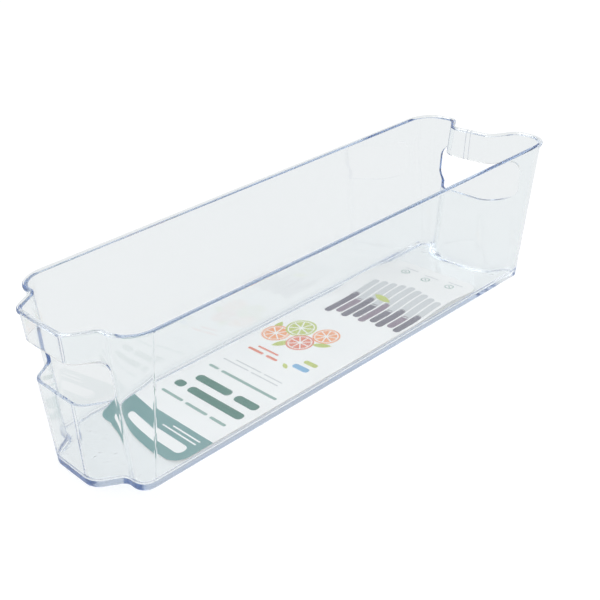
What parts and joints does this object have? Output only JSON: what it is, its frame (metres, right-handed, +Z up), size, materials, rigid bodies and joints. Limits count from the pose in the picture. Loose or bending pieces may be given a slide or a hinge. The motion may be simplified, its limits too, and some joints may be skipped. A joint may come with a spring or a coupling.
{
  "type": "fridge storage bin",
  "caption": "Long clear open-topped fridge bin with a tapered nose, a matching recess, hand-holes at both ends and a loose printed card on its floor.",
  "frame": {"origin": "middle of the bin's underside, on the surface it stands on", "axes": "+X along the length from the nose end to the recessed end, +Y across the width, +Z up"},
  "size_m": [0.3699, 0.1098, 0.098],
  "materials": {
    "clear_plastic": "gloss",
    "printed_card": "satin"
  },
  "bodies": {
    "shell": {"bin": "clear_plastic"},
    "insert": {"card": "printed_card"}
  },
  "joints": [
    {"name": "insert_lift", "type": "slide", "parent": "shell", "child": "insert", "axis": [0, 0, 1], "range_m": [0, 0.1]}
  ]
}
